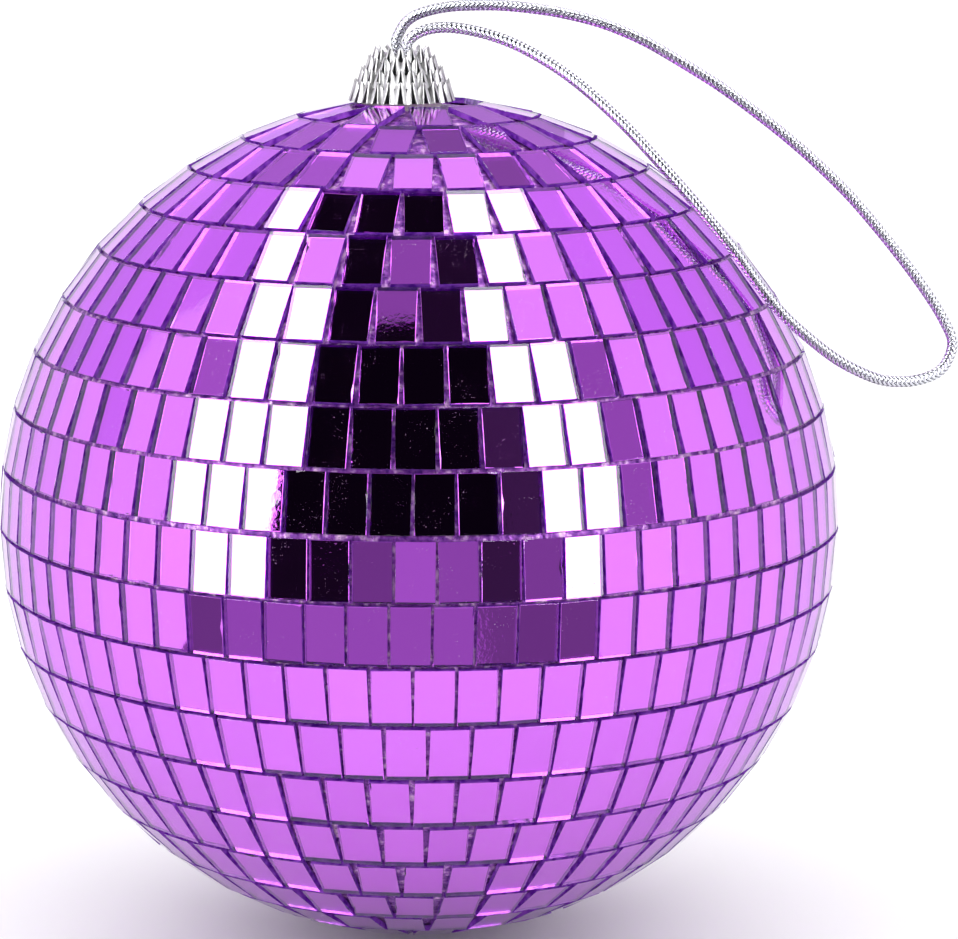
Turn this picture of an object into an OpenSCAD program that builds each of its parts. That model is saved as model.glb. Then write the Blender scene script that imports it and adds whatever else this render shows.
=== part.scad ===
// Mirror ball on a cord loop: a foam core in two halves, an adhesive backing, rows of cut mirror
// tiles, a scaled cap and a braided cord. The origin is the middle of the cap's open mouth, where
// the cord comes out and the ball hangs. +Z is up, and the front of the ball faces -Y.

/* [Ball] */
// Diameter over the mirror tiles
ball_d = 150; // [148:0.5:152]
// Thickness of the mirror glass
glass_t = 1; // [0.8:0.1:1.2]
// Width of one tile, along its row
tile_w = 6.6; // [6:0.1:7]
// Height of one tile, from row to row
tile_h = 10.1; // [9.6:0.1:10.1]
// Least gap between neighbours, where the tiles of a row stand closest
tile_gap = 0.22; // [0.22:0.02:0.6]
// Largest slant of a tile laid by hand, in degrees
tile_slant = 0.9; // [0:0.1:1]
// Backward tip of the upper rows, which opens the seam above the equator at the front, in degrees
seam_tip = 0.25; // [0:0.05:0.25]

/* [Core] */
// Wall of the hollow foam core
core_wall = 12; // [8:1:20]
// Thickness of the adhesive backing that carries the tiles
backing_t = 0.8; // [0.5:0.1:1]
// Height of the lap joint at the equator
lap_h = 4; // [2:0.5:8]
// Hole in the crown, under the cap
crown_hole_d = 9; // [8:0.5:9.5]

/* [Cap] */
// Distance of the cap from the ball's axis, because it is glued on by hand
cap_offset = 3; // [0:0.5:3]
// Height of the cap's mouth above the ball's crown
cap_rise = 9; // [9:0.1:10]
// Wall of the cap
cap_wall = 0.8; // [0.6:0.1:0.9]
// Hole in the cap's web, which the cord passes and the knot doesn't
web_hole_d = 6.2; // [6:0.1:6.6]

/* [Cord] */
// Diameter of the braided cord
cord_d = 2; // [1.8:0.1:2.4]
// Diameter of the knot under the cap's web
knot_d = 7.6; // [7:0.1:8]
// Height of the loop's two ends above the cap's mouth, where the loop folds
fold_z = 0.8; // [0.6:0.1:1]

/* [Hidden] */
$fn = 64;
rows_per_half = 11;
row_pitch = 90 / rows_per_half;
ball_r = ball_d / 2;
ball_z = -(ball_r + cap_rise);
tile_bed = 0.2;      // room under a slanted tile
tile_drift = 0.1;    // how far a tile may stray sideways, as a share of its gap
fit_gap = 0.05;      // room between two shells that lie in each other
backing_r = ball_r - glass_t - tile_bed;
core_r = backing_r - backing_t - fit_gap;
core_inner_r = core_r - core_wall;
lap_r = core_r - core_wall / 2;
cap_h = cap_rise + 0.3;  // the rim reaches just below the crown of the tiles
cap_mouth_r = 4.5;
cap_base_r = 9.4;
web_top_z = -2.1;
web_t = 0.8;
glue_r = 7;
glue_h = 3;
cut_facets = 256;    // facets of a sphere that cuts a thin ring
knot_z = -7.2;
cord_sides = 8;
strand_y = 1.5;      // half the distance between the two strands in the mouth, front to back
strand_x = 0.5;      // and side to side
tail_end_z = -1.6;   // the tails end below the sweep of the loop's own ends

// Where a gap between two tiles stands in each row, as a share of the tile pitch to the right of
// the front. The first number is the row beside the equator.
upper_stagger = [0.42, -0.14, 0.42, -0.39, 0, 0.32, -0.4, 0.38, 0, -0.3];
lower_stagger = [0.3, -0.14, 0.2, -0.16, 0.16, -0.4, 0.4, 0.2, -0.2, 0.1];

// Outline of the cap: the top of each tier of scales stands proud of the tier above. [radius, height]
cap_tiers = [
    [cap_mouth_r, 0], [5.1, -2], [5.5, -2], [6.5, -4], [6.9, -4], [7.8, -6.2], [8.2, -6.2],
    [cap_base_r, -cap_h]
];

// Route of the loop's middle line, from the rear strand's end over the right shoulder and back
loop_route = [
    [-1, 1.5, fold_z], [-0.5, 1.5, 2.3], [0.6, 1.2, 4.1], [2.5, 1, 5.5], [5.5, 0.5, 6.5], [9, 0, 7.1],
    [13, -0.5, 7.3], [17.5, -1, 7.3], [22.5, -2, 6.9], [28, -2.5, 6.1], [35, -3.5, 4.4], [42, -4.5, 1.6],
    [48.5, -5.5, -2], [55.8, -6.5, -6.5], [62.9, -8, -11.6], [70, -9, -17.3], [77.1, -10.5, -23.9],
    [82.1, -11.5, -29.4], [87.6, -12.5, -36.1], [92.1, -13.5, -42.2], [94.8, -14.4, -46.6], [96.2, -15.2, -50],
    [95.5, -16, -53], [93.6, -17, -55.2], [90.2, -18, -56.4], [86.5, -19, -56.6], [83, -20, -56],
    [79, -21, -54.3], [75, -21.6, -52], [70.5, -22.2, -48.5], [66, -22.6, -44.4], [62, -22.6, -39.7],
    [57.6, -22.3, -33.6], [53, -21.5, -28], [49, -20, -23.4], [44, -17.5, -18], [39, -14.5, -12.8],
    [33.5, -11.5, -7.8], [28.5, -8.5, -4], [23.5, -6, -1], [18.5, -4, 1.3], [13.5, -2.8, 2.8],
    [9, -2, 3.5], [5.6, -1.6, 3.4], [3, -1.5, 2.6], [1.6, -1.5, 1.6], [1, -1.5, fold_z]
];
loop_normal = [0.2, -1, 0.2];   // roughly square to the loop's plane

function unit(v) = v / norm(v);

// Number of tiles that fit in row k, counted where the row is narrowest: the back of its polar edge
function row_lat(k) = (k - 0.5) * row_pitch;
function polar_edge_r(k) = (ball_r - glass_t) * cos(row_lat(k)) - tile_h / 2 * sin(row_lat(k));
function tile_angle(k, w) = 2 * atan(w / (2 * polar_edge_r(k)));
function row_count(k) = floor(360 / tile_angle(k, tile_w + tile_gap));

// Direction of a route at point i
function along(route, i) =
    unit(route[min(i + 1, len(route) - 1)] - route[max(i - 1, 0)]);

module at_ball() {
    translate([cap_offset, 0, ball_z]) children();
}

module tile() {
    cube([glass_t, tile_w, tile_h], center = true);
}

// One row of the upper half, k rows from the equator. Each tile is turned and slanted a little.
module tile_row(k, stagger, seed) {
    count = row_count(k);
    step = 360 / count;
    slack = step - tile_angle(k, tile_w);
    chance = rands(-1, 1, 4 * count, seed);
    for (i = [0 : count - 1]) {
        turn = -90 + (i + 0.5 + stagger) * step + tile_drift * slack * chance[4 * i];
        slant = tile_slant * [chance[4 * i + 1], chance[4 * i + 2], chance[4 * i + 3]];
        rotate([0, -row_lat(k), turn])
            translate([ball_r - glass_t / 2, 0, 0])
                rotate(slant) tile();
    }
}

module upper_row(k) {
    color("mediumorchid")
        at_ball()
            rotate([k == 1 ? 0 : -seam_tip, 0, 0])
                tile_row(k, upper_stagger[k - 1], 100 + k);
}

module lower_row(k) {
    color("mediumorchid")
        at_ball()
            mirror([0, 0, 1])
                tile_row(k, lower_stagger[k - 1], 200 + k);
}

// The bottom pole is closed by two tiles side by side
module pole_tiles() {
    color("mediumorchid")
        at_ball()
            for (side = [-1, 1])
                translate([side * (tile_w + tile_gap) / 2, 0, glass_t / 2 - ball_r])
                    cube([tile_w, tile_h, glass_t], center = true);
}

module crown_hole() {
    translate([0, 0, ball_z + ball_r / 2]) cylinder(d = crown_hole_d, h = ball_r);
}

// Half of a hollow ball: side is 1 above the equator and -1 below it
module half_shell(outer_r, inner_r, side) {
    difference() {
        sphere(outer_r);
        sphere(inner_r);
        translate([0, 0, -side * (outer_r + 1)]) cube(2 * outer_r + 2, center = true);
    }
}

module upper_core() {
    color("whitesmoke")
        difference() {
            at_ball()
                difference() {
                    half_shell(core_r, core_inner_r, 1);
                    translate([0, 0, -1]) cylinder(r = lap_r, h = lap_h + 1);
                }
            crown_hole();
        }
}

module lower_core() {
    color("whitesmoke")
        at_ball() {
            half_shell(core_r, core_inner_r, -1);
            difference() {
                cylinder(r = lap_r - fit_gap, h = lap_h - fit_gap);
                translate([0, 0, -1]) cylinder(r = core_inner_r, h = lap_h + 2);
            }
        }
}

module upper_backing() {
    color("plum")
        difference() {
            at_ball() half_shell(backing_r, backing_r - backing_t, 1);
            crown_hole();
        }
}

module lower_backing() {
    color("plum")
        at_ball() half_shell(backing_r, backing_r - backing_t, -1);
}

// The cap is a hollow cone of four tiers, with a web across it below the mouth
module cap() {
    web_bottom_z = web_top_z - web_t;
    inner = [
        [cap_base_r - cap_wall, -cap_h], [6.9 - cap_wall, web_bottom_z - 2],
        [5.7 - cap_wall, web_bottom_z], [web_hole_d / 2, web_bottom_z],
        [web_hole_d / 2, web_top_z], [5.2 - cap_wall, web_top_z], [cap_mouth_r - cap_wall, 0]
    ];
    color("silver")
        rotate_extrude() polygon(concat(cap_tiers, inner));
}

// Ring of hot-melt glue between the cap and the backing, inside the top row of tiles
module cap_glue() {
    color("ivory")
        difference() {
            translate([0, 0, -cap_h - glue_h]) cylinder(r = glue_r, h = glue_h);
            translate([0, 0, -cap_h - glue_h - 1]) cylinder(d = crown_hole_d, h = glue_h + 2);
            at_ball() sphere(backing_r, $fn = cut_facets);
        }
}

module knot_ball() {
    translate([0, 0, knot_z]) sphere(d = knot_d);
}

module cord_knot() {
    color("gainsboro") knot_ball();
}

// The cord's two ends, from the knot up through the web
module cord_tails() {
    color("gainsboro")
        difference() {
            for (side = [-1, 1])
                translate([-side * strand_x, side * strand_y, knot_z])
                    cylinder(d = cord_d, h = tail_end_z - knot_z);
            knot_ball();
        }
}

// A round tube along a route: a ring of points at each route point, and a flat cap at each end
module tube(route, d, normal, sides) {
    rings = len(route);
    points = [
        for (i = [0 : rings - 1])
            let (side = unit(cross(along(route, i), normal)), front = cross(side, along(route, i)))
                for (j = [0 : sides - 1])
                    route[i] + d / 2 * (cos(360 * j / sides) * side + sin(360 * j / sides) * front)
    ];
    walls = [
        for (i = [0 : rings - 2], j = [0 : sides - 1])
            let (k = (j + 1) % sides)
                [i * sides + j, i * sides + k, (i + 1) * sides + k, (i + 1) * sides + j]
    ];
    start = [for (j = [sides - 1 : -1 : 0]) j];
    end = [for (j = [0 : sides - 1]) (rings - 1) * sides + j];
    polyhedron(points, concat([start], walls, [end]), convexity = 4);
}

module hanging_cord() {
    color("gainsboro") tube(loop_route, cord_d, loop_normal, cord_sides);
}

upper_core();
lower_core();
upper_backing();
lower_backing();
upper_row(1);  // upper_row_01
upper_row(2);  // upper_row_02
upper_row(3);  // upper_row_03
upper_row(4);  // upper_row_04
upper_row(5);  // upper_row_05
upper_row(6);  // upper_row_06
upper_row(7);  // upper_row_07
upper_row(8);  // upper_row_08
upper_row(9);  // upper_row_09
upper_row(10);  // upper_row_10
lower_row(1);  // lower_row_01
lower_row(2);  // lower_row_02
lower_row(3);  // lower_row_03
lower_row(4);  // lower_row_04
lower_row(5);  // lower_row_05
lower_row(6);  // lower_row_06
lower_row(7);  // lower_row_07
lower_row(8);  // lower_row_08
lower_row(9);  // lower_row_09
lower_row(10);  // lower_row_10
pole_tiles();
cap();
cap_glue();
cord_knot();
cord_tails();
hanging_cord();
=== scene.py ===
"""Looks of the mirror ball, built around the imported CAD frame. Metres, +Z up, front towards -Y."""

import math
import random

import bpy
import numpy as np
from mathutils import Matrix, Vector


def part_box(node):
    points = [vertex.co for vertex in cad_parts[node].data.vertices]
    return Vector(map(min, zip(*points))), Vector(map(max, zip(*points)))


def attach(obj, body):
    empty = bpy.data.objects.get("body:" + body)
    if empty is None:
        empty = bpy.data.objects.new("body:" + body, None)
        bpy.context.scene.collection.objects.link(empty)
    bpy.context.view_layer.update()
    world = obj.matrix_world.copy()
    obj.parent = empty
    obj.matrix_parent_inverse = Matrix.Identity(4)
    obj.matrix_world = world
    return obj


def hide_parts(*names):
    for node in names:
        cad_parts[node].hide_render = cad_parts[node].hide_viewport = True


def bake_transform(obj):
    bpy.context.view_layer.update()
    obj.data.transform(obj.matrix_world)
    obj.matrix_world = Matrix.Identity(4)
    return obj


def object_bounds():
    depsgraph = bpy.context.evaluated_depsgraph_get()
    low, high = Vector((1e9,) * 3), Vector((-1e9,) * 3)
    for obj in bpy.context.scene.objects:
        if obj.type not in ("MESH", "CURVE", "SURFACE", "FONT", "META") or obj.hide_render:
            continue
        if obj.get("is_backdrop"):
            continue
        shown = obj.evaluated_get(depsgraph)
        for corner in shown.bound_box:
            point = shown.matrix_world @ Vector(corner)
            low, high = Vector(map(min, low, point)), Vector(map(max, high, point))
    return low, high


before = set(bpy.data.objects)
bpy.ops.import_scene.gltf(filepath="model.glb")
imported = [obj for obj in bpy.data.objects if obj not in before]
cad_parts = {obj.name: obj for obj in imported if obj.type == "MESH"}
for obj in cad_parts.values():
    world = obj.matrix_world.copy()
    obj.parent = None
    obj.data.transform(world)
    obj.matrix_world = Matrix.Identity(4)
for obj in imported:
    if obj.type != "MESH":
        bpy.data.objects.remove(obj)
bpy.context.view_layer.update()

MM = 0.001
core_low, core_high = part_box("upper_core")
BALL = Vector(((core_low.x + core_high.x) / 2, (core_low.y + core_high.y) / 2, core_low.z))
ROWS = [f"{half}_row_{k:02d}" for half in ("upper", "lower") for k in range(1, 11)]


def around(radius, angle, z):
    """A point round the cap's axis. Radius and height are in millimetres."""
    return Vector((radius * math.cos(angle), radius * math.sin(angle), z)) * MM


def towards(azimuth, elevation):
    """A direction out of the ball. Azimuth 0 is the front and 90 the right, both in degrees."""
    az, el = math.radians(azimuth), math.radians(elevation)
    return Vector((math.cos(el) * math.sin(az), -math.cos(el) * math.cos(az), math.sin(el)))


# ---------------------------------------------------------------- camera

CAMERA_DISTANCE = 0.7
CAMERA_ELEVATION = math.radians(11.3)
LENS = 145.9                # focal length and sensor width, in millimetres
SENSOR_WIDTH = 36
SHIFT = (0.0626, 0.0472)


def make_camera():
    """The camera looks straight at the ball's centre, and the shift sets the ball low and left."""
    data = bpy.data.cameras.new("camera")
    data.lens = LENS
    data.sensor_width = SENSOR_WIDTH
    data.shift_x, data.shift_y = SHIFT
    camera = bpy.data.objects.new("camera", data)
    bpy.context.scene.collection.objects.link(camera)
    back = Vector((0, -math.cos(CAMERA_ELEVATION), math.sin(CAMERA_ELEVATION)))
    camera.location = BALL + CAMERA_DISTANCE * back
    camera.rotation_euler = (-back).to_track_quat("-Z", "Y").to_euler()
    bpy.context.scene.camera = camera


# ---------------------------------------------------------------- materials

MIX_A, MIX_B, MIX_RESULT = 6, 7, 2      # a colour Mix node's sockets, which share their names
YARN_CREST = 0.25                       # the outermost line of a yarn, as a share of the way round it


class Shade:
    """A material's node tree, with short calls for the nodes that this script uses."""

    def __init__(self, name):
        self.material = bpy.data.materials.new(name)
        self.material.use_nodes = True
        self.nodes = self.material.node_tree.nodes
        self.links = self.material.node_tree.links
        self.surface = self.nodes["Principled BSDF"]

    def set(self, **values):
        for name, value in values.items():
            self.surface.inputs[name.replace("_", " ")].default_value = value
        return self

    def node(self, kind, inputs=None, **settings):
        made = self.nodes.new("ShaderNode" + kind)
        for name, value in settings.items():
            setattr(made, name, value)
        for name, value in (inputs or {}).items():
            if isinstance(value, bpy.types.NodeSocket):
                self.links.new(value, made.inputs[name])
            else:
                made.inputs[name].default_value = value
        return made

    def place(self):
        return self.node("TexCoord").outputs["Object"]

    def noise(self, scale, detail=2.0, vector=None):
        inputs = {"Vector": vector or self.place(), "Scale": scale, "Detail": detail}
        return self.node("TexNoise", inputs).outputs["Fac"]

    def ramp(self, factor, stops):
        """A colour ramp: stops are (place, colour), in order."""
        made = self.node("ValToRGB", {"Fac": factor})
        elements = made.color_ramp.elements
        while len(elements) < len(stops):
            elements.new(0.5)
        for element, (place, colour) in zip(elements, stops):
            element.position = place
            element.color = (*colour, 1)
        return made.outputs["Color"]

    def grey_ramp(self, factor, stops):
        return self.ramp(factor, [(place, (value,) * 3) for place, value in stops])

    def math(self, operation, a, b):
        return self.node("Math", {0: a, 1: b}, operation=operation).outputs[0]

    def bump(self, height, distance, strength=1.0):
        inputs = {"Height": height, "Distance": distance, "Strength": strength}
        made = self.node("Bump", inputs)
        self.links.new(made.outputs["Normal"], self.surface.inputs["Normal"])

    def drive(self, name, socket):
        self.links.new(socket, self.surface.inputs[name])


def mirror_back():
    """The purple silvering on the back of each tile, a little uneven, with a few pinholes."""
    shade = Shade("mirror_back").set(Metallic=1.0)
    island = shade.node("NewGeometry").outputs["Random Per Island"]
    tint = shade.ramp(island, [(0.0, (0.58, 0.12, 0.78)), (1.0, (0.65, 0.15, 0.84))])
    pinholes = shade.grey_ramp(shade.noise(5200, 1.0), [(0.735, 0.0), (0.75, 1.0)])
    patches = shade.grey_ramp(shade.noise(190, 2.0), [(0.52, 0.0), (0.6, 1.0)])
    specks = shade.math("MULTIPLY", pinholes, patches)
    mixed = shade.node(
        "Mix", {"Factor": specks, MIX_A: tint, MIX_B: (0.9, 0.72, 0.95, 1)}, data_type="RGBA"
    )
    shade.drive("Base Color", mixed.outputs[MIX_RESULT])
    shade.drive("Roughness", shade.grey_ramp(specks, [(0.0, 0.012), (1.0, 0.55)]))
    rippled = shade.grey_ramp(island, [(0.0, 0.04), (0.84, 0.08), (0.9, 1.0)])
    shade.bump(shade.math("MULTIPLY", shade.noise(1500, 2.0), rippled), 0.012 * MM)
    return shade.material


def tile_glass():
    """Clear float glass, faintly uneven."""
    shade = Shade("tile_glass").set(
        Base_Color=(0.985, 0.97, 1.0, 1), Roughness=0.0, IOR=1.52, Transmission_Weight=1.0
    )
    shade.bump(shade.noise(240, 1.0), 0.004 * MM)
    return shade.material


def cut_edge():
    """The snapped edge of a tile: faintly rough. Its deep purple is a painted reflection of the purple
    mirror behind it, darkened further as painted shade of the narrow gaps between tiles.
    """
    shade = Shade("cut_edge").set(IOR=1.52, Transmission_Weight=0.35)
    # painted reflection and painted shade: deep purple for the mirror seen through the edge and for
    # the dark of the gaps
    colour = shade.ramp(
        shade.noise(650, 2.0), [(0.35, (0.13, 0.015, 0.36)), (0.7, (0.46, 0.13, 0.78))]
    )
    shade.drive("Base Color", colour)
    shade.drive("Roughness", shade.grey_ramp(shade.noise(700), [(0.4, 0.05), (0.75, 0.22)]))
    shade.bump(shade.noise(900, 2.0), 0.01 * MM)
    return shade.material


def backing_sheet():
    """The adhesive sheet under the tiles: wrinkled and a little silvery. Its deep and mid purples are
    painted shade of the narrow gaps between tiles; its pale patches are the sheet's own pinkish
    silver.
    """
    shade = Shade("backing_sheet").set(Metallic=0.45)
    # painted shade: deep purples darken most of the sheet, where it lies in the gaps
    colour = shade.ramp(
        shade.noise(700, 4.0),
        [(0.34, (0.10, 0.012, 0.24)), (0.52, (0.34, 0.08, 0.50)), (0.69, (0.95, 0.62, 0.93))],
    )
    shade.drive("Base Color", colour)
    shade.drive("Roughness", shade.grey_ramp(shade.noise(1300), [(0.3, 0.2), (0.7, 0.5)]))
    shade.bump(shade.noise(1100, 5.0), 0.25 * MM)
    return shade.material


def foam():
    """Moulded foam, with its beads showing as shallow cells."""
    shade = Shade("foam").set(Roughness=0.75)
    cells = shade.node("TexVoronoi", {"Vector": shade.place(), "Scale": 420.0})
    colour = shade.ramp(
        cells.outputs["Distance"], [(0.0, (0.93, 0.93, 0.91)), (0.7, (0.82, 0.82, 0.8))]
    )
    shade.drive("Base Color", colour)
    shade.bump(cells.outputs["Distance"], 0.2 * MM)
    return shade.material


def cap_silver():
    """Bright plating on a moulding, with slight waves and rub marks."""
    shade = Shade("cap_silver").set(Metallic=1.0)
    colour = shade.ramp(shade.noise(900), [(0.3, (0.42, 0.42, 0.43)), (0.7, (0.52, 0.52, 0.52))])
    shade.drive("Base Color", colour)
    shade.drive("Roughness", shade.grey_ramp(shade.noise(1500), [(0.35, 0.3), (0.7, 0.42)]))
    shade.bump(shade.noise(1200, 2.0), 0.003 * MM)
    return shade.material


def cap_slot():
    """Painted shade: the near-black floor of the slots between the cap's ribs, standing in for the
    dark inside them.
    """
    shade = Shade("cap_slot")
    colour = shade.ramp(
        shade.noise(1500), [(0.3, (0.004, 0.004, 0.005)), (0.8, (0.02, 0.02, 0.022))]
    )
    shade.drive("Base Color", colour)
    shade.drive("Roughness", shade.grey_ramp(shade.noise(900), [(0.3, 0.55), (0.7, 0.8)]))
    return shade.material


def braid_silver():
    """Metallic yarn: fine filaments run along it, and painted shade darkens its edges, where the yarns
    meet.
    """
    shade = Shade("braid_silver").set(Metallic=1.0)
    place = shade.node("TexCoord").outputs["UV"]
    across = shade.node("SeparateXYZ", {"Vector": place}).outputs["X"]
    turn = shade.math("MULTIPLY", across, FILAMENTS * math.tau)
    filaments = shade.math("SINE", turn, 0.0)
    # painted shade: the yarn's colour darkens from its crest to its edges
    from_crest = shade.math("SUBTRACT", across, YARN_CREST)
    painted_edge_shade = shade.math("COSINE", shade.math("MULTIPLY", from_crest, math.tau), 0.0)
    colour = shade.ramp(
        painted_edge_shade,
        [(0.0, (0.08, 0.08, 0.10)), (0.45, (0.40, 0.41, 0.46)), (0.95, (0.70, 0.71, 0.76))],
    )
    shade.drive("Base Color", colour)
    shade.drive("Roughness", shade.grey_ramp(shade.noise(2500), [(0.3, 0.14), (0.7, 0.3)]))
    shade.bump(filaments, 0.02 * MM)
    return shade.material


def cord_core():
    """The filling of the braid, seen between its yarns; its near black is painted shade of the gaps
    between them.
    """
    shade = Shade("cord_core").set(Roughness=0.7)
    # painted shade: near black, for the dark between the yarns
    colour = shade.ramp(shade.noise(1800), [(0.3, (0.03, 0.03, 0.035)), (0.7, (0.09, 0.09, 0.1))])
    shade.drive("Base Color", colour)
    return shade.material


def hot_glue():
    """Hot-melt glue, pale and glossy."""
    shade = Shade("hot_glue").set(Coat_Weight=0.3)
    colour = shade.ramp(shade.noise(500), [(0.3, (0.80, 0.76, 0.64)), (0.7, (0.92, 0.89, 0.80))])
    shade.drive("Base Color", colour)
    shade.drive("Roughness", shade.grey_ramp(shade.noise(700), [(0.3, 0.25), (0.7, 0.45)]))
    shade.bump(shade.noise(300), 0.2 * MM)
    return shade.material


# ---------------------------------------------------------------- meshes


def add_mesh(name, points, faces, materials, slots=None, uvs=None, smooth=False):
    """A mesh object. slots holds each face's material index, and uvs each corner's place."""
    mesh = bpy.data.meshes.new(name)
    mesh.from_pydata([tuple(p) for p in points], [], faces)
    for material in materials:
        mesh.materials.append(material)
    if slots is not None:
        mesh.polygons.foreach_set("material_index", slots)
    if uvs is not None:
        layer = mesh.uv_layers.new(name="UVMap")
        layer.data.foreach_set("uv", np.asarray(uvs, np.float32).ravel())
    mesh.polygons.foreach_set("use_smooth", [smooth] * len(mesh.polygons))
    mesh.update()
    piece = bpy.data.objects.new(name, mesh)
    bpy.context.scene.collection.objects.link(piece)
    return piece


# ---------------------------------------------------------------- cord

CORD_D = 2.0 * MM
FOLD_Z = 0.8                # where the loop begins, at the cap's mouth
LOOP_ROUTE = [              # the loop's middle line, in millimetres
    (-1, 1.5, FOLD_Z), (-0.5, 1.5, 2.3), (0.6, 1.2, 4.1), (2.5, 1, 5.5), (5.5, 0.5, 6.5),
    (9, 0, 7.1), (13, -0.5, 7.3), (17.5, -1, 7.3), (22.5, -2, 6.9), (28, -2.5, 6.1),
    (35, -3.5, 4.4), (42, -4.5, 1.6), (48.5, -5.5, -2), (55.8, -6.5, -6.5),
    (62.9, -8, -11.6), (70, -9, -17.3), (77.1, -10.5, -23.9),
    (82.1, -11.5, -29.4), (87.6, -12.5, -36.1), (92.1, -13.5, -42.2), (94.8, -14.4, -46.6),
    (96.2, -15.2, -50), (95.5, -16, -53), (93.6, -17, -55.2), (90.2, -18, -56.4), (86.5, -19, -56.6),
    (83, -20, -56), (79, -21, -54.3), (75, -21.6, -52), (70.5, -22.2, -48.5), (66, -22.6, -44.4),
    (62, -22.6, -39.7), (57.6, -22.3, -33.6), (53, -21.5, -28), (49, -20, -23.4), (44, -17.5, -18),
    (39, -14.5, -12.8), (33.5, -11.5, -7.8), (28.5, -8.5, -4), (23.5, -6, -1), (18.5, -4, 1.3),
    (13.5, -2.8, 2.8), (9, -2, 3.5), (5.6, -1.6, 3.4), (3, -1.5, 2.6), (1.6, -1.5, 1.6),
    (1, -1.5, FOLD_Z),
]
TAIL_Z = (-4.6, -3.2, -1.6) # points of a tail, up from the knot
TAIL_PLACE = (0.5, 1.5)     # of a strand in the hole of the cap's web, from the cap's axis
BRAID_LEAD = 6.8 * MM       # length of one full turn of a yarn
BRAID_R = 0.83 * MM
BRAID_LIFT = 0.075 * MM     # how far a yarn rises where it passes over the others
YARN = (0.27 * MM, 0.1 * MM)    # half its width and half its thickness
YARNS_PER_WAY = 8
YARN_SIDES = 6
STEPS_PER_LEAD = 22
SPAN_STEPS = 24             # points of the smooth curve between two of the route
FILAMENTS = 4
CORE_R = 0.7 * MM
CORE_EVERY = 4              # the filling has a ring at every fourth point of the line
FIRST_NORMAL = (0.2, -1, 0.2)   # sets where the braid's first yarn starts
KNOT_STEPS = 160
KNOT_SIDES = 12
KNOT_RISE = 1.1             # height of the knot's waves, where its plan is 3 in radius


def cord_points():
    """The cord's middle line: up from the knot, round the loop, and back down."""
    x, y = TAIL_PLACE
    first = [(-x, y, z) for z in TAIL_Z]
    last = [(x, -y, z) for z in reversed(TAIL_Z)]
    return np.array(first + LOOP_ROUTE + last, float) * MM


def smooth_line(points, step):
    """Points a step apart along a Catmull-Rom curve through the given ones."""
    ends = np.vstack([2 * points[0] - points[1], points, 2 * points[-1] - points[-2]])
    fine = []
    for i in range(1, len(ends) - 2):
        a, b, c, d = ends[i - 1 : i + 3]
        for t in np.linspace(0, 1, SPAN_STEPS, endpoint=False):
            fine.append(
                0.5 * (2 * b + (c - a) * t + (2 * a - 5 * b + 4 * c - d) * t**2)
                + 0.5 * (3 * b - a - 3 * c + d) * t**3
            )
    fine.append(ends[-2])
    fine = np.array(fine)
    run = np.concatenate([[0], np.cumsum(np.linalg.norm(np.diff(fine, axis=0), axis=1))])
    places = np.linspace(0, run[-1], max(2, int(round(run[-1] / step))) + 1)
    return np.stack([np.interp(places, run, fine[:, k]) for k in range(3)], axis=1), run[-1]


def line_frames(line, normal):
    """Two directions square to the line at each of its points, turning as little as they can."""
    along = np.gradient(line, axis=0)
    along /= np.linalg.norm(along, axis=1)[:, None]
    side = np.cross(along[0], normal)
    sides = []
    for direction in along:
        side = side - (side @ direction) * direction
        side = side / np.linalg.norm(side)
        sides.append(side)
    sides = np.array(sides)
    return sides, np.cross(along, sides)


def braid(line, side, front, length):
    """Points, faces and UVs of the braided yarns, and of the filling that they lie on."""
    points, faces, uvs, slots = [], [], [], []
    place = np.linspace(0, length, len(line))
    ring = np.arange(YARN_SIDES) * math.tau / YARN_SIDES
    for way in (1, -1):
        for k in range(YARNS_PER_WAY):
            turn = way * math.tau * place / BRAID_LEAD + k * math.tau / YARNS_PER_WAY
            radius = BRAID_R + way * BRAID_LIFT * np.cos(YARNS_PER_WAY / 2 * turn)
            out = np.cos(turn)[:, None] * side + np.sin(turn)[:, None] * front
            middle = line + radius[:, None] * out
            run = np.gradient(middle, axis=0)
            run /= np.linalg.norm(run, axis=1)[:, None]
            flat = np.cross(run, out)
            flat /= np.linalg.norm(flat, axis=1)[:, None]
            start = len(points)
            for m, o, f in zip(middle, np.cross(flat, run), flat):
                points.extend(
                    m + YARN[0] * math.cos(a) * f + YARN[1] * math.sin(a) * o for a in ring
                )
            close_tube(start, len(line), YARN_SIDES, faces, uvs, slots, 0)
    start = len(points)
    some = slice(None, None, CORE_EVERY)
    for p, s, f in zip(line[some], side[some], front[some]):
        points.extend(p + CORE_R * (math.cos(a) * s + math.sin(a) * f) for a in ring)
    close_tube(start, len(line[some]), YARN_SIDES, faces, uvs, slots, 1)
    return points, faces, uvs, slots


def close_tube(start, rings, sides, faces, uvs, slots, slot):
    """Walls and both ends of a tube whose rings of points were just added."""
    for i in range(rings - 1):
        for j in range(sides):
            k = (j + 1) % sides
            a, b = start + i * sides, start + (i + 1) * sides
            faces.append((a + j, a + k, b + k, b + j))
            u0, u1 = j / sides, (j + 1) / sides
            uvs.extend([(u0, i), (u1, i), (u1, i + 1), (u0, i + 1)])
            slots.append(slot)
    last = start + (rings - 1) * sides
    for end in ([start + j for j in reversed(range(sides))], [last + j for j in range(sides)]):
        faces.append(tuple(end))
        uvs.extend([(0.5, 0.5)] * sides)
        slots.append(slot)


def make_cord():
    """One braided cord, whose loop begins at the cap's mouth."""
    line, length = smooth_line(cord_points(), BRAID_LEAD / STEPS_PER_LEAD)
    side, front = line_frames(line, np.array(FIRST_NORMAL))
    points, faces, uvs, slots = braid(line, side, front, length)
    cord = add_mesh(
        "braided_cord", points, faces, [braid_silver(), cord_core()], slots, uvs, smooth=True
    )
    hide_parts("hanging_cord", "cord_tails")
    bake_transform(cord)


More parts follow.
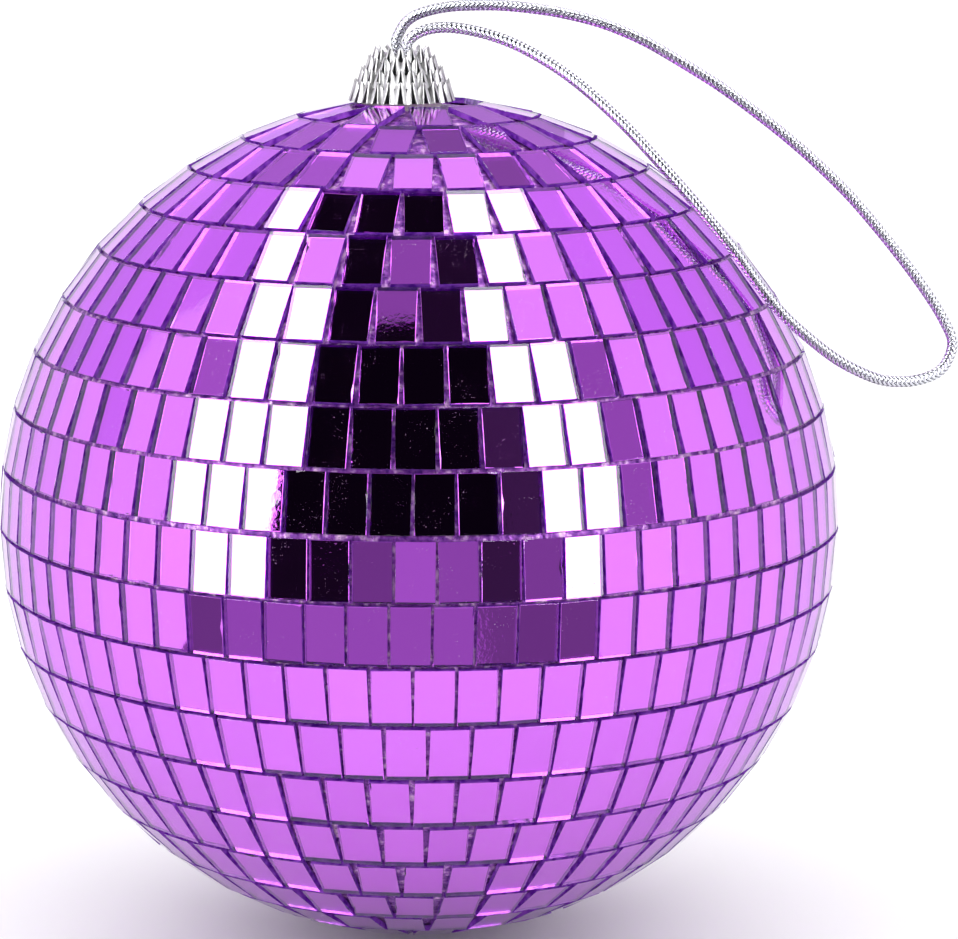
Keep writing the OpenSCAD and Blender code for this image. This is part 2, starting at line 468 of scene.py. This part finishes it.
def make_knot():
    """An overhand knot of the same cord, under the cap's web."""
    low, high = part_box("cord_knot")
    middle, reach = (low + high) / 2, (high.x - low.x) / 2
    tube_r = CORD_D / 2
    turns = np.linspace(0, math.tau, KNOT_STEPS, endpoint=False)
    knot = np.stack(
        [
            np.sin(turns) + 2 * np.sin(2 * turns),
            np.cos(turns) - 2 * np.cos(2 * turns),
            -KNOT_RISE * np.sin(3 * turns),
        ],
        axis=1,
    )
    line = knot * (reach - tube_r) / np.linalg.norm(knot, axis=1).max() + np.array(middle)
    along = np.roll(line, -1, axis=0) - np.roll(line, 1, axis=0)
    along /= np.linalg.norm(along, axis=1)[:, None]
    side = np.cross(along, np.array([0, 0, 1.0]))
    side /= np.linalg.norm(side, axis=1)[:, None]
    front = np.cross(side, along)
    ring = np.arange(KNOT_SIDES) * math.tau / KNOT_SIDES
    points = [
        p + tube_r * (math.cos(a) * s + math.sin(a) * f)
        for p, s, f in zip(line, side, front)
        for a in ring
    ]
    faces, uvs = [], []
    for i in range(KNOT_STEPS):
        for j in range(KNOT_SIDES):
            a, b = i * KNOT_SIDES, (i + 1) % KNOT_STEPS * KNOT_SIDES
            k = (j + 1) % KNOT_SIDES
            faces.append((a + j, a + k, b + k, b + j))
            u0, u1 = j / KNOT_SIDES, (j + 1) / KNOT_SIDES
            uvs.extend([(u0, i), (u1, i), (u1, i + 1), (u0, i + 1)])
    silver = bpy.data.materials["braid_silver"]
    piece = add_mesh("tied_knot", points, faces, [silver], uvs=uvs, smooth=True)
    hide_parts("cord_knot")
    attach(piece, "cord_ends")


# ---------------------------------------------------------------- tiles

EDGE_STEPS = (4, 6)         # points along a tile's short and long edges
CORNER_WANDER = 0.06 * MM
CORNER_SPREAD = 0.5         # of a corner's random cut, as a share of CORNER_WANDER
EDGE_WANDER = 0.005 * MM
ARRIS = 0.035 * MM          # width of the worn front edge
ARRIS_SPREAD = (0.85, 1.15)
ARRIS_INSET = 1.3           # how far the front face draws in, and
ARRIS_DEPTH = 0.8           # how deep the wear goes, as shares of its width
CHIP = (0.1 * MM, 0.3 * MM) # least and greatest width of a chip
CHIP_CHANCE = 0.02
TILE_SEED = 40
WELD = 1e-6                 # points nearer than this, in metres, are one


def tile_boxes(node):
    """The eight corners of each box in a CAD node of tiles."""
    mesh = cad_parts[node].data
    points = np.array([v.co for v in mesh.vertices], float)
    spots, which = np.unique(np.round(points / WELD).astype(int), axis=0, return_inverse=True)
    which = which.ravel()
    owner = list(range(len(spots)))

    def root(i):
        while owner[i] != i:
            owner[i] = owner[owner[i]]
            i = owner[i]
        return i

    for face in mesh.polygons:
        first = which[face.vertices[0]]
        for v in face.vertices:
            owner[root(which[v])] = root(first)
    groups = {}
    for i in range(len(spots)):
        groups.setdefault(root(i), []).append(spots[i] * WELD)
    return [np.array(group) for group in groups.values() if len(group) == 8]


def tile_frame(corners):
    """Middle of a tile's back, its three directions and its three sizes."""
    middle = corners.mean(axis=0)
    reach = np.linalg.norm(corners - corners[0], axis=1)
    order = np.argsort(reach)
    edges = [corners[order[i]] - corners[0] for i in (1, 2, 4)]
    thick, wide, high = (np.linalg.norm(edge) for edge in edges)
    out = edges[0] / thick
    out = out if out @ (middle - np.array(BALL)) > 0 else -out
    up = edges[2] / high
    up = up if up[2] >= 0 else -up
    return middle - out * thick / 2, np.cross(up, out), up, out, wide, high, thick


def tile_outline(chance, wide, high):
    """A hand-cut rectangle: its corners are a little off, and its edges aren't quite straight."""
    corners = [
        np.array([x * wide / 2, y * high / 2])
        - np.array([x, y]) * abs(chance.gauss(0, CORNER_SPREAD)) * CORNER_WANDER
        for x, y in ((-1, -1), (1, -1), (1, 1), (-1, 1))
    ]
    outline = []
    for i, corner in enumerate(corners):
        following = corners[(i + 1) % 4]
        steps = EDGE_STEPS[i % 2]
        inward = np.array([-(following - corner)[1], (following - corner)[0]])
        inward /= np.linalg.norm(inward)
        for j in range(steps):
            wander = 0 if j == 0 else abs(chance.gauss(0, 1)) * EDGE_WANDER
            outline.append(corner + (following - corner) * j / steps + inward * wander)
    return np.array(outline)


def edge_wear(chance):
    """Width of the wear at one point of the outline: a thin arris, or now and then a chip."""
    if chance.random() < CHIP_CHANCE:
        return chance.uniform(*CHIP)
    return ARRIS * chance.uniform(*ARRIS_SPREAD)


def tile_points(chance, corners):
    """Rings of points of one tile: its back, the foot of its worn edge, and its front."""
    foot, across, up, out, wide, high, thick = tile_frame(corners)
    outline = tile_outline(chance, wide, high)
    wear = np.array([edge_wear(chance) for _ in outline])
    outward = outline / np.linalg.norm(outline, axis=1)[:, None]
    inner = outline - outward * wear[:, None] * ARRIS_INSET

    def ring(flat, height):
        return foot + flat[:, :1] * across + flat[:, 1:] * up + np.outer(height, out)

    count = len(outline)
    return [
        ring(outline, np.zeros(count)),
        ring(outline, thick - wear * ARRIS_DEPTH),
        ring(inner, np.full(count, thick)),
    ]


def make_tiles(node, materials, seed):
    """One row of tiles. Each is a slab of clear glass with a mirror on its back."""
    chance = random.Random(seed)
    points, faces, slots = [], [], []
    mirror, glass, edge = range(3)
    for corners in tile_boxes(node):
        start = len(points)
        rings = tile_points(chance, corners)
        count = len(rings[0])
        for ring in rings:
            points.extend(ring)
        faces.append(tuple(start + i for i in reversed(range(count))))
        slots.append(mirror)
        for level, slot in ((0, edge), (1, glass)):
            for i in range(count):
                a, b = start + level * count, start + (level + 1) * count
                k = (i + 1) % count
                faces.append((a + i, a + k, b + k, b + i))
                slots.append(slot)
        faces.append(tuple(start + 2 * count + i for i in range(count)))
        slots.append(glass)
    row = add_mesh("tiles_" + node, points, faces, materials, slots)
    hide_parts(node)
    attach(row, "ball")


# ---------------------------------------------------------------- cap

CAP_TIERS = [  # top radius, bottom radius, tip height, bottom height, scales: millimetres
    (4.6, 5.4, 0.2, -2.4, 15),
    (5.7, 6.7, -1.3, -4.5, 19),
    (7.0, 8.0, -3.3, -6.7, 23),
    (8.2, 9.3, -5.5, -9.3, 25),
]
SCALE_DROP = 1.5            # the notch between two tips lies this far below them
ARCH_POWER = 1.4            # shape of a tip: 1 is a straight-sided point, 2 is round
TIP_LEAN = 0.12             # how far a tip leans out
TIP_NARROWNESS = 1.3        # the lean is gone at 1 / 1.3 of the way to the notch
LEAN_FADE = 3               # power by which the lean dies out down the scale
TIP_RELIEF = 0.45           # share of the ribs' height that is left at the top of a scale
SCALE_ROWS = 12
RIB_STEPS = 6
RIB_HEIGHT = 0.3
RIB_CREST = 0.75            # where a rib is highest, from the notch at 0 to the slot at 1
RIB_RISE = 1.3              # its slopes before and after the crest
RIB_FALL = 0.5
RIB_FOOT = -0.1
SLOT_DEPTH = 0.8
SLOT_START = 0.16           # the slot begins this far down the scale
SLOT_WIDTH = (0.05, 0.41)   # at its top and at its bottom, as shares of the scale's width
SLOT_FLOOR = 0.98           # share of the slot's width that its floor of painted shade takes
CAP_WALL = 1.0
RIM_DROP = 0.1              # the inside wall ends this far below the notches
TIER_TURN = 0.15            # turn of the first tier, in scales
WEB = [(3.1, -2.1), (4.3, -2.1), (4.3, -2.9), (3.1, -2.9)]     # radius and height
WEB_SIDES = 96


def scale_columns(down):
    """Columns of one scale at one height, as (across, height, is_slot).
    across runs from -1 to 1 over the scale. Two ribs meet at its tip, with a slot between them."""
    opening = max(0.0, down - SLOT_START) / (1 - SLOT_START)
    slot = SLOT_WIDTH[0] + (SLOT_WIDTH[1] - SLOT_WIDTH[0]) * opening
    depth = -SLOT_DEPTH if opening > 0 else RIB_HEIGHT / 2
    left = []
    for i in range(RIB_STEPS + 1):
        t = i / RIB_STEPS
        rise = RIB_RISE * min(t, RIB_CREST) - RIB_FALL * max(0.0, t - RIB_CREST)
        left.append((-1 + t * (1 - slot), RIB_HEIGHT * rise + RIB_FOOT, False))
    floor = slot * SLOT_FLOOR
    middle = [(-floor, depth, True), (0.0, depth, True), (floor, depth, True)]
    right = [(-across, height, False) for across, height, _ in reversed(left[1:])]
    return left + middle + right


def scale_point(tier, across, height, down, turn):
    """Radius, angle and height of one point of a scale."""
    top_r, bottom_r, tip_z, bottom_z, scales = tier
    edge = abs(across)
    lean = TIP_LEAN * max(0.0, 1 - edge * TIP_NARROWNESS) * (1 - down) ** LEAN_FADE
    relief = height * (TIP_RELIEF + (1 - TIP_RELIEF) * down)
    top_z = tip_z - SCALE_DROP * edge**ARCH_POWER
    radius = top_r + (bottom_r - top_r) * down + relief + lean
    return radius, (turn + across / 2) / scales * math.tau, top_z + (bottom_z - top_z) * down


def tier_shell(tier, offset, points, faces, slots):
    """One closed ring of scales."""
    top_r, bottom_r, tip_z, bottom_z, scales = tier
    start = len(points)
    columns = len(scale_columns(0)) * scales
    in_slot, angles = [], []
    for j in range(SCALE_ROWS + 1):
        down = j / SCALE_ROWS
        for n in range(scales):
            for across, height, is_slot in scale_columns(down):
                radius, angle, z = scale_point(tier, across, height, down, n + offset)
                points.append(around(radius, angle, z))
                if j == 0:
                    in_slot.append(is_slot)
                    angles.append(angle)
    inner = len(points)
    inside = ((top_r - CAP_WALL, tip_z - SCALE_DROP - RIM_DROP), (bottom_r - CAP_WALL, bottom_z))
    for radius, z in inside:
        points.extend(around(radius, angle, z) for angle in angles)
    bottom = start + SCALE_ROWS * columns
    for i in range(columns):
        k = (i + 1) % columns
        for j in range(SCALE_ROWS):
            a, b = start + j * columns, start + (j + 1) * columns
            faces.append((a + i, b + i, b + k, a + k))
            # slot faces take cap_slot, the near-black painted shade
            slots.append(1 if in_slot[i] and in_slot[k] and j / SCALE_ROWS > SLOT_START else 0)
        faces.append((bottom + i, inner + columns + i, inner + columns + k, bottom + k))
        faces.append((inner + columns + i, inner + i, inner + k, inner + columns + k))
        faces.append((inner + i, start + i, start + k, inner + k))
        slots.extend([0, 0, 0])


def make_cap():
    """Four rings of pointed scales, and the web inside that the cord passes."""
    points, faces, slots = [], [], []
    for n, tier in enumerate(CAP_TIERS):
        tier_shell(tier, n % 2 / 2 + TIER_TURN, points, faces, slots)
    start = len(points)
    for radius, z in WEB:
        points.extend(around(radius, i / WEB_SIDES * math.tau, z) for i in range(WEB_SIDES))
    for ring in range(len(WEB)):
        for i in range(WEB_SIDES):
            k = (i + 1) % WEB_SIDES
            a, b = start + ring * WEB_SIDES, start + (ring + 1) % len(WEB) * WEB_SIDES
            faces.append((a + i, a + k, b + k, b + i))
            slots.append(0)
    cap = add_mesh("scaled_cap", points, faces, [cap_silver(), cap_slot()], slots)
    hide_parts("cap")
    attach(cap, "ball")


# ---------------------------------------------------------------- seam and hidden parts

SEAM_BAND = (6.9, 8.7)      # degrees above the equator, where the front seam lies open
SEAM_COLUMNS = 1400
SEAM_ROWS = 6
SEAM_SEED = 7
TAPE_BELOW = 0.1 * MM       # the tape's inner face lies this far under the backing's surface
TAPE_ABOVE = 0.05 * MM      # and its outer face this far above it
WRINKLE = 0.1 * MM          # with wrinkles up to this high


def make_seam_tape(material):
    """The wrinkled edge of the adhesive sheet, which shows in the open seam."""
    low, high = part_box("upper_backing")
    radius = (high.x - low.x) / 2
    chance = random.Random(SEAM_SEED)
    points, faces = [], []
    for level in (0, 1):
        for j in range(SEAM_ROWS + 1):
            lat = math.radians(SEAM_BAND[0] + (SEAM_BAND[1] - SEAM_BAND[0]) * j / SEAM_ROWS)
            for i in range(SEAM_COLUMNS):
                angle = i / SEAM_COLUMNS * math.tau
                rise = WRINKLE * chance.random() + TAPE_ABOVE if level else -TAPE_BELOW
                out, up = math.cos(lat), math.sin(lat)
                direction = Vector((out * math.cos(angle), out * math.sin(angle), up))
                points.append(BALL + (radius + rise) * direction)
    layer = (SEAM_ROWS + 1) * SEAM_COLUMNS
    for i in range(SEAM_COLUMNS):
        k = (i + 1) % SEAM_COLUMNS
        for j in range(SEAM_ROWS):
            a, b = j * SEAM_COLUMNS, (j + 1) * SEAM_COLUMNS
            faces.append((layer + a + i, layer + a + k, layer + b + k, layer + b + i))
            faces.append((a + i, b + i, b + k, a + k))
        top = SEAM_ROWS * SEAM_COLUMNS
        faces.append((i, k, layer + k, layer + i))
        faces.append((top + i, layer + top + i, layer + top + k, top + k))
    tape = add_mesh("seam_tape", points, faces, [material], smooth=True)
    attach(tape, "ball")


def paint_node(node, material):
    """Gives a carried-over CAD node its finish."""
    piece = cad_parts[node]
    piece.data.materials.clear()
    piece.data.materials.append(material)


# ---------------------------------------------------------------- studio

CARD_DISTANCE = 3.0
CARD_STEPS = 12
ROOM_DISTANCE = 8.0         # behind every other card
CEILING = 2.5
JUST_BELOW = CEILING * 0.98
JUST_ABOVE = CEILING * 1.01
FLOOR_STEPS = 16
HORIZON = (0.45, 2.9)       # where a floor card begins and ends, in metres from the ball's axis
TABLE = (0.19, 0.45)        # the same, for the cards that lie nearer
TABLE_FAR = (0.34, 0.45)
WHITE_CARD = 7.5
DIM_COLOUR = (1.02, 0.8, 1.2, 1)
FLOOR_GAP = 2 * MM          # between the ball and the floor
FLOOR_RADII = (0.3, 1.0, 3.0, 12.0)
FLOOR_SIDES = 96
WORLD_LIGHT = 1.28
LAMPS = (("key", -53, 35, 5), ("fill", 43, 35, 4))     # name, azimuth, elevation, watts
LAMP_SIZE = (0.9, 1.6)
LAMP_DISTANCE = 1.8


def glow(name, strength):
    """A card's light: white where it is bright, and faintly violet where it is dim."""
    material = bpy.data.materials.new(name)
    material.use_nodes = True
    nodes, links = material.node_tree.nodes, material.node_tree.links
    nodes.clear()
    light = nodes.new("ShaderNodeEmission")
    light.inputs["Strength"].default_value = strength
    light.inputs["Color"].default_value = DIM_COLOUR if strength < 1 else (1, 1, 1, 1)
    links.new(light.outputs[0], nodes.new("ShaderNodeOutputMaterial").inputs[0])
    material.cycles.emission_sampling = "NONE"
    return material


def hide_but_mirrored(card):
    """A card is there to be mirrored, and isn't seen or felt in any other way."""
    card.visible_camera = False
    card.visible_diffuse = False
    card.visible_shadow = False
    card.visible_volume_scatter = False
    card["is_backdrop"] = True


def wall_card(name, azimuth, elevation, strength, distance=CARD_DISTANCE):
    """A card on a sphere round the ball, between two azimuths and two elevations."""
    width, points, faces = CARD_STEPS + 1, [], []
    for i in range(width):
        for j in range(width):
            az = azimuth[0] + (azimuth[1] - azimuth[0]) * i / CARD_STEPS
            el = elevation[0] + (elevation[1] - elevation[0]) * j / CARD_STEPS
            points.append(BALL + distance * towards(az, el))
    for i in range(CARD_STEPS):
        for j in range(CARD_STEPS):
            a = i * width + j
            faces.append((a, a + 1, a + width + 1, a + width))
    hide_but_mirrored(add_mesh(name, points, faces, [glow(name, strength)]))


def ceiling_card(name, x_range, front_range, strength, height=CEILING):
    """A flat card overhead. Its ranges, to the right and to the front, are shares of its height."""
    points = [
        BALL + height * Vector((x, -front, 1))
        for x, front in (
            (x_range[0], front_range[0]), (x_range[1], front_range[0]),
            (x_range[1], front_range[1]), (x_range[0], front_range[1]),
        )
    ]
    hide_but_mirrored(add_mesh(name, points, [(0, 1, 2, 3)], [glow(name, strength)]))


def floor_card(name, azimuth, reach, strength, lift=1):
    """A patch that lies in front of the ball, lift millimetres up, and shows only in its mirrors."""
    low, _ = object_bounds()
    points, faces = [], []
    for i in range(FLOOR_STEPS + 1):
        az = azimuth[0] + (azimuth[1] - azimuth[0]) * i / FLOOR_STEPS
        for r in reach:
            spot = BALL + r * towards(az, 0)
            points.append((spot.x, spot.y, low.z + lift * MM))
    for i in range(FLOOR_STEPS):
        faces.append((2 * i, 2 * i + 1, 2 * i + 3, 2 * i + 2))
    hide_but_mirrored(add_mesh(name, points, faces, [glow(name, strength)]))


def make_cards():
    """What the tiles mirror: tall softboxes with the dark between them, bands, strips and walls."""
    wall_card("left_softbox", (-66, -41), (-1, 57), WHITE_CARD)
    wall_card("right_softbox", (32, 54), (6, 55), WHITE_CARD)
    wall_card("right_softbox_foot", (38, 48), (-1, 6), WHITE_CARD)
    wall_card("dark_front", (-41, 24), (3, 57), 0.004)
    wall_card("dark_edge", (24, 32), (3, 55), 0.06)
    wall_card("right_gap", (54, 67), (-1, 47), 0.45)
    wall_card("left_gap", (-77, -66), (-1, 47), 0.55)
    wall_card("room_left", (-176, -100), (13, 58), 0.95, ROOM_DISTANCE)
    wall_card("room_right", (100, 176), (13, 58), 0.95, ROOM_DISTANCE)
    wall_card("far_dark_left", (-41, -18), (-1, 3), 0.01)
    wall_card("far_middle", (-18, 16), (-1, 3), 0.34)
    wall_card("far_dark_right", (16, 38), (-1, 3), 0.1)
    floor_card("horizon_white_left", (-62, -41), (0.55, 2.9), WHITE_CARD)
    floor_card("horizon_dark_left", (-41, -19), HORIZON, 0.01)
    floor_card("horizon_dim_left", (-19, -8), HORIZON, 0.24)
    floor_card("horizon_middle", (-8, 4), HORIZON, 0.55)
    floor_card("horizon_dim_right", (4, 16), HORIZON, 0.4)
    floor_card("horizon_dark_right", (16, 27), HORIZON, 0.05)
    floor_card("horizon_edge_right", (27, 38), HORIZON, 0.3)
    floor_card("horizon_white_right", (38, 47), (0.7, 2.9), WHITE_CARD)
    floor_card("table_far_left", (-60, -42), (0.19, 0.55), 0.22)
    floor_card("table_middle", (-42, 16), TABLE, 0.46)
    floor_card("table_dark_left", (-30, -19), TABLE_FAR, 0.04, 2)
    floor_card("table_dark_right", (14, 26), TABLE_FAR, 0.04, 2)
    floor_card("table_right", (16, 46), TABLE, 0.22)
    floor_card("table_reflex_right", (51, 57), (0.34, 0.37), 0.02, 2)
    ceiling_card("left_strip", (-0.76, -0.43), (-0.1, 0.6), WHITE_CARD)
    ceiling_card("left_strip_back", (-0.62, -0.42), (-0.5, -0.1), WHITE_CARD)
    ceiling_card("dark_strip", (-0.36, 0.1), (-0.4, 0.7), 0.006)
    ceiling_card("dim_spot_front", (-0.17, -0.02), (0.42, 0.5), 0.35, JUST_BELOW)
    ceiling_card("dim_spot_back", (-0.1, 0.02), (0.02, 0.2), 0.4, JUST_BELOW)
    ceiling_card("right_strip", (0.1, 0.36), (-0.36, 0.06), WHITE_CARD)
    ceiling_card("right_strip_front", (0.19, 0.37), (0.06, 0.62), WHITE_CARD)
    ceiling_card("dark_beside_strip", (0.08, 0.19), (0.06, 0.7), 0.02, JUST_ABOVE)
    ceiling_card("dim_back", (-0.5, 0.55), (-3.0, -0.66), 0.62)
    ceiling_card("dim_back_dark", (0.02, 0.3), (-1.2, -0.66), 0.34, JUST_BELOW)


def make_floor():
    """A plain pale floor, just under the ball."""
    low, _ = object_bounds()
    floor_z = low.z - FLOOR_GAP
    points = []
    for r in FLOOR_RADII:
        for i in range(FLOOR_SIDES):
            angle = i / FLOOR_SIDES * math.tau
            points.append((BALL.x + r * math.cos(angle), BALL.y + r * math.sin(angle), floor_z))
    middle = len(points)
    points.append((BALL.x, BALL.y, floor_z))
    faces = [(middle, i, (i + 1) % FLOOR_SIDES) for i in range(FLOOR_SIDES)]
    for ring in range(len(FLOOR_RADII) - 1):
        for i in range(FLOOR_SIDES):
            a, b, k = ring * FLOOR_SIDES, (ring + 1) * FLOOR_SIDES, (i + 1) % FLOOR_SIDES
            faces.append((a + i, b + i, b + k, a + k))
    shade = Shade("floor_paper").set(Roughness=0.9)
    colour = shade.ramp(shade.noise(0.8), [(0.3, (0.95, 0.95, 0.95)), (0.7, (0.97, 0.97, 0.97))])
    shade.drive("Base Color", colour)
    add_mesh("floor", points, faces, [shade.material])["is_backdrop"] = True


def make_lights():
    """Even light from all round, and two large soft lamps in front."""
    world = bpy.data.worlds.new("studio")
    world.use_nodes = True
    background = world.node_tree.nodes["Background"]
    background.inputs["Color"].default_value = (1, 1, 1, 1)
    background.inputs["Strength"].default_value = WORLD_LIGHT
    bpy.context.scene.world = world
    for name, azimuth, elevation, power in LAMPS:
        lamp = bpy.data.lights.new(name, "AREA")
        lamp.shape = "RECTANGLE"
        lamp.size, lamp.size_y = LAMP_SIZE
        lamp.energy = power
        holder = bpy.data.objects.new(name, lamp)
        bpy.context.scene.collection.objects.link(holder)
        way = towards(azimuth, elevation)
        holder.location = BALL + LAMP_DISTANCE * way
        holder.rotation_euler = (-way).to_track_quat("-Z", "Y").to_euler()
        holder.visible_glossy = False
        holder.visible_transmission = False
        holder.visible_camera = False


def set_quality():
    """Enough bounces for light to pass through a tile, off its mirror and out again."""
    scene = bpy.context.scene
    scene.view_settings.view_transform = "Standard"
    scene.cycles.max_bounces = 14
    scene.cycles.glossy_bounces = 8
    scene.cycles.transmission_bounces = 12
    scene.cycles.sample_clamp_indirect = 8.0


make_camera()
make_cord()
make_knot()
tile_materials = [mirror_back(), tile_glass(), cut_edge()]
for number, row_name in enumerate(ROWS + ["pole_tiles"]):
    make_tiles(row_name, tile_materials, TILE_SEED + number)
make_cap()
backing_material = backing_sheet()
make_seam_tape(backing_material)
paint_node("upper_backing", backing_material)
paint_node("lower_backing", backing_material)
foam_material = foam()
paint_node("upper_core", foam_material)
paint_node("lower_core", foam_material)
paint_node("cap_glue", hot_glue())
make_cards()
make_floor()
make_lights()
set_quality()
